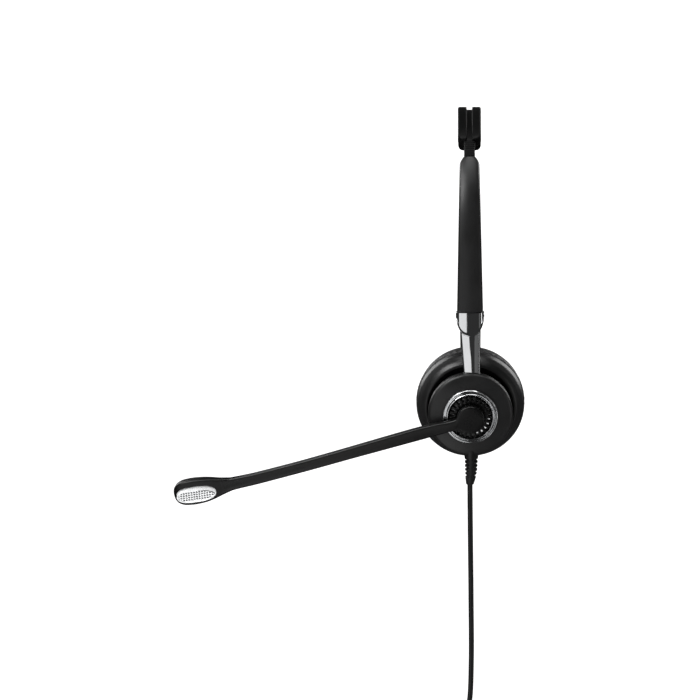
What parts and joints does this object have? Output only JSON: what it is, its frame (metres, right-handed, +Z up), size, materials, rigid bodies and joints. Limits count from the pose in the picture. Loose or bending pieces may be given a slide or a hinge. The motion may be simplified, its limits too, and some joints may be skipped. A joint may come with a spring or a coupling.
{
  "type": "office headset",
  "caption": "Over-the-head office headset with cushioned ear cups on sliding arms, a turning boom microphone and a cord with a quick-release connector.",
  "frame": {"origin": "middle of the crown pad's underside, where the head carries the headset", "axes": "+Z up; -X to the wearer's front, the way the boom points; -Y to the wearer's left, the side with the boom"},
  "size_m": [0.1795, 0.1394, 0.4095],
  "materials": {
    "pad_rubber": "moulded black rubber, satin, with a groove along the top",
    "spring_steel": "blackened spring steel",
    "lead_jacket": "thin black wire jacket",
    "soft_black": "black soft-touch moulding, matte with a fine grain",
    "satin_black": "black moulding, satin",
    "chrome": "bright chrome plating",
    "screw_steel": "zinc-plated steel",
    "nylon": "dark moulded nylon",
    "leatherette": "soft black leatherette with a fine pebble grain",
    "magnet": "nickel-plated magnet",
    "film": "thin translucent film",
    "circuit_board": "green solder mask",
    "brass": "plated brass",
    "cord_rubber": "flexible black cord jacket, satin",
    "tie_fabric": "black hook-and-loop strap"
  },
  "bodies": {
    "crown": {"crown_pad_top": "pad_rubber", "crown_pad_underside": "pad_rubber", "spring_band": "spring_steel", "headband_lead": "lead_jacket"},
    "left_arm": {"left_arm_outer_cover": "soft_black", "left_arm_inner_cover": "soft_black", "left_arm_screw": "screw_steel", "left_band_end": "spring_steel", "left_slider_guide": "nylon", "left_arm_sleeve": "chrome"},
    "left_housing": {"left_slider": "chrome", "left_housing_rear_shell": "satin_black", "left_housing_front_shell": "soft_black", "left_housing_screw_front": "screw_steel", "left_housing_screw_back": "screw_steel", "left_chrome_ring": "chrome", "boom_bush": "nylon", "detent_ring": "satin_black", "friction_washer": "screw_steel", "circuit_board": "circuit_board", "strain_relief": "cord_rubber", "cord": "cord_rubber", "cord_hank": "cord_rubber", "cord_tie": "tie_fabric", "cord_tail": "cord_rubber", "connector_body": "satin_black", "connector_contacts": "brass"},
    "left_gimbal_cross": {"left_gimbal": "nylon"},
    "left_ear_piece": {"left_ear_plate": "soft_black", "left_driver_basket": "satin_black", "left_driver_magnet": "magnet", "left_driver_diaphragm": "film", "left_driver_baffle": "satin_black", "left_ear_cushion": "leatherette"},
    "right_arm": {"right_arm_outer_cover": "soft_black", "right_arm_inner_cover": "soft_black", "right_arm_screw": "screw_steel", "right_band_end": "spring_steel", "right_slider_guide": "nylon", "right_arm_sleeve": "chrome"},
    "right_housing": {"right_slider": "chrome", "right_housing_rear_shell": "satin_black", "right_housing_front_shell": "soft_black", "right_housing_screw_front": "screw_steel", "right_housing_screw_back": "screw_steel", "right_chrome_ring": "chrome", "right_housing_cap": "soft_black"},
    "right_gimbal_cross": {"right_gimbal": "nylon"},
    "right_ear_piece": {"right_ear_plate": "soft_black", "right_driver_basket": "satin_black", "right_driver_magnet": "magnet", "right_driver_diaphragm": "film", "right_driver_baffle": "satin_black", "right_ear_cushion": "leatherette"},
    "boom_arm": {"boom": "satin_black", "boom_shaft": "screw_steel", "boom_retaining_clip": "screw_steel", "mic_grille_outer": "chrome", "mic_grille_inner": "chrome", "mic_capsule": "brass"}
  },
  "joints": [
    {"name": "left_arm_flex", "type": "hinge", "parent": "crown", "child": "left_arm", "pos_m": [0, -0.04949, -0.01836], "axis": [-1, 0, 0], "range_deg": [-2, 20], "stiffness_Nm_per_rad": 1},
    {"name": "left_extension", "type": "slide", "parent": "left_arm", "child": "left_housing", "axis": [0, 0.1736, -0.9848], "range_m": [-0.006, 0.02]},
    {"name": "left_cup_swivel", "type": "hinge", "parent": "left_housing", "child": "left_gimbal_cross", "pos_m": [0, -0.04085, -0.14946], "axis": [0, -0.2588, 0.9659], "range_deg": [-8, 8]},
    {"name": "left_cup_tilt", "type": "hinge", "parent": "left_gimbal_cross", "child": "left_ear_piece", "pos_m": [0, -0.04085, -0.14946], "axis": [1, 0, 0], "range_deg": [-8, 8]},
    {"name": "right_arm_flex", "type": "hinge", "parent": "crown", "child": "right_arm", "pos_m": [0, 0.04949, -0.01836], "axis": [1, 0, 0], "range_deg": [-2, 20], "stiffness_Nm_per_rad": 1},
    {"name": "right_extension", "type": "slide", "parent": "right_arm", "child": "right_housing", "axis": [0, -0.1736, -0.9848], "range_m": [-0.006, 0.02]},
    {"name": "right_cup_swivel", "type": "hinge", "parent": "right_housing", "child": "right_gimbal_cross", "pos_m": [0, 0.04085, -0.14946], "axis": [0, 0.2588, 0.9659], "range_deg": [-8, 8]},
    {"name": "right_cup_tilt", "type": "hinge", "parent": "right_gimbal_cross", "child": "right_ear_piece", "pos_m": [0, 0.04085, -0.14946], "axis": [-1, 0, 0], "range_deg": [-8, 8]},
    {"name": "boom_turn", "type": "hinge", "parent": "left_housing", "child": "boom_arm", "pos_m": [0, -0.05824, -0.15412], "axis": [0, -0.9659, -0.2588], "range_deg": [-255, 50]}
  ]
}
